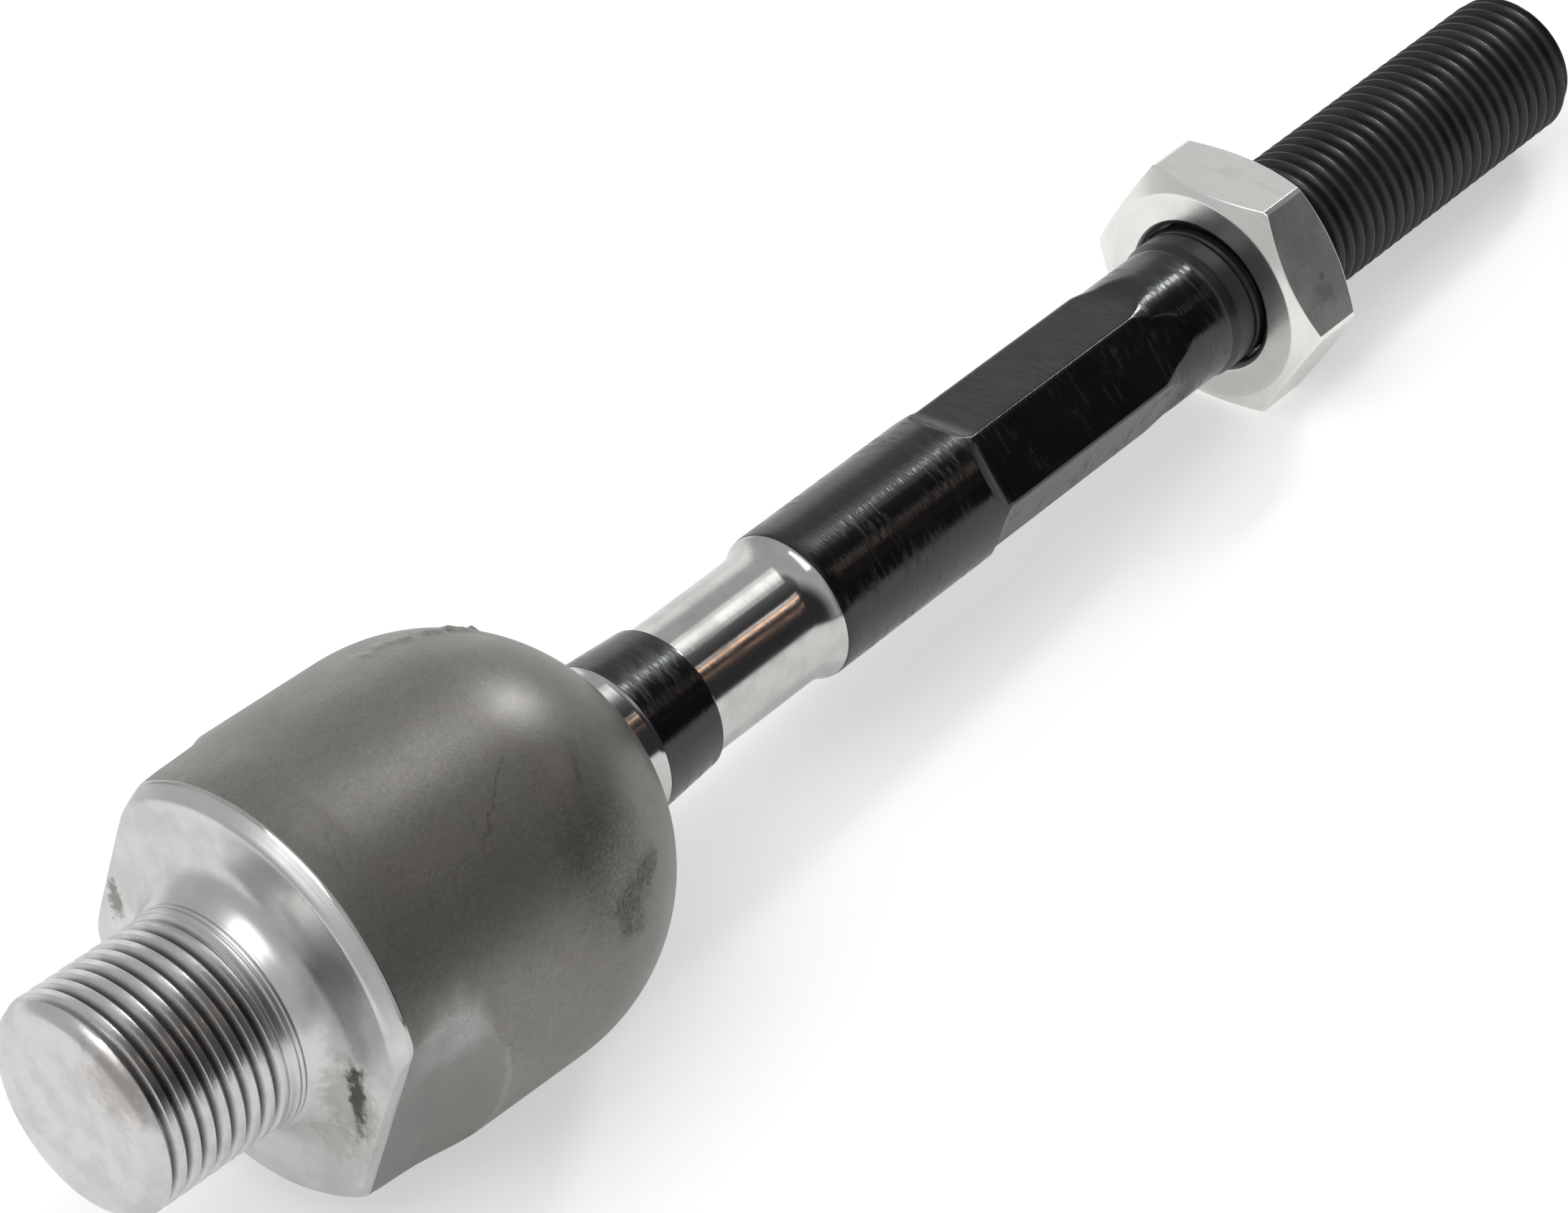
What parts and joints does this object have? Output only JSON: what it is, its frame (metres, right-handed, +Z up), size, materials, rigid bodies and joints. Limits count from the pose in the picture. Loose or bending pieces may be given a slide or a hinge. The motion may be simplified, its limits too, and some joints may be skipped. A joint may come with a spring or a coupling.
{
  "type": "inner tie rod",
  "caption": "Inner tie rod: a round ball-joint housing with a threaded rack stub, and a slim rod with wrench flats, a threaded end and a jam nut.",
  "frame": {"origin": "centre of the housing's shoulder face, on the axis of the rack stub", "axes": "+Z up from the surface that the part lies on; +X along the floor from the rack stub to the rod's threaded end, with the housing's axis in the XZ plane and sloping down by 6.55 degrees"},
  "size_m": [0.186, 0.0376, 0.0396],
  "materials": {
    "forged_steel": "matt dark phosphate on the barrel, bright machined shoulder and stub",
    "seat_plastic": "moulded natural acetal",
    "black_rod": "glossy black coating, with a bright ground ball, neck and boot seat",
    "zinc": "silver zinc plate"
  },
  "bodies": {
    "housing": {"housing": "forged_steel"},
    "seat": {"ball_seat": "seat_plastic"},
    "rod": {"tie_rod": "black_rod"},
    "nut": {"jam_nut": "zinc"}
  },
  "joints": [
    {"name": "seat_turn", "type": "hinge", "parent": "housing", "child": "seat", "pos_m": [0.02663, 0, -0.00306], "axis": [0.9935, 0, -0.114], "continuous": true},
    {"name": "rod_swing", "type": "hinge", "parent": "seat", "child": "rod", "pos_m": [0.02663, 0, -0.00306], "axis": [0.0483, -0.906, 0.4205], "range_deg": [-14.5, 9.4]},
    {"name": "nut_travel", "type": "slide", "parent": "rod", "child": "nut", "axis": [0.9971, 0.0191, -0.0732], "range_m": [0, 0.039]}
  ]
}
